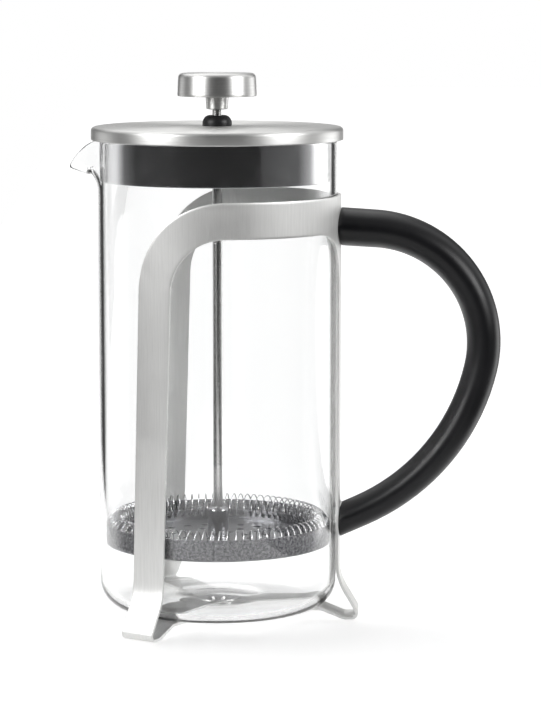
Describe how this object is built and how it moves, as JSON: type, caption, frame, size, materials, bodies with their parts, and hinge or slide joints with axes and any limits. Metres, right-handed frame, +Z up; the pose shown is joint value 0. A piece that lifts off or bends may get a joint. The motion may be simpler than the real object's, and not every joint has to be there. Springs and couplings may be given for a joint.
{
  "type": "french press",
  "caption": "Glass cylinder in a three-legged steel strip stand with a plastic loop handle, a flat steel lid and a plunger with a round knob, rod and mesh filter.",
  "frame": {"origin": "on the beaker's axis at the level of the surface that the feet stand on", "axes": "+Z up along the beaker's axis, +X towards the handle, -X towards the spout"},
  "size_m": [0.1735, 0.1062, 0.2206],
  "materials": {
    "steel": "satin, brushed lengthwise",
    "polished_steel": "polished",
    "mesh": "fine woven wire",
    "brass": "turned",
    "black_plastic": "satin moulded",
    "glass": "clear, fire-polished"
  },
  "bodies": {
    "stand": {"stand_strip": "steel", "base_disc": "steel", "base_washer": "steel", "base_rivet": "steel", "handle": "black_plastic", "handle_screws": "steel", "handle_inserts": "brass"},
    "glass": {"beaker": "glass"},
    "bush": {"lid_bush": "black_plastic", "bush_ring": "polished_steel"},
    "lid": {"lid_cap": "steel", "lid_collar": "polished_steel"},
    "plunger": {"knob_cap": "steel", "knob_base": "steel", "plunger_rod": "polished_steel", "hub_sleeve": "polished_steel", "spiral_plate": "polished_steel", "filter_spring": "polished_steel", "mesh_screen": "mesh", "cross_plate": "polished_steel", "cross_nut": "polished_steel"}
  },
  "joints": [
    {"name": "beaker_lift", "type": "slide", "parent": "stand", "child": "glass", "axis": [0, 0, 1], "range_m": [0, 0.18]},
    {"name": "lid_lift", "type": "slide", "parent": "glass", "child": "bush", "axis": [0, 0, 1], "range_m": [0, 0.175]},
    {"name": "lid_turn", "type": "hinge", "parent": "bush", "child": "lid", "pos_m": [0, 0, 0.1995], "axis": [0, 0, 1], "continuous": true},
    {"name": "plunger_slide", "type": "slide", "parent": "bush", "child": "plunger", "axis": [0, 0, 1], "range_m": [-0.002, 0.136]}
  ]
}
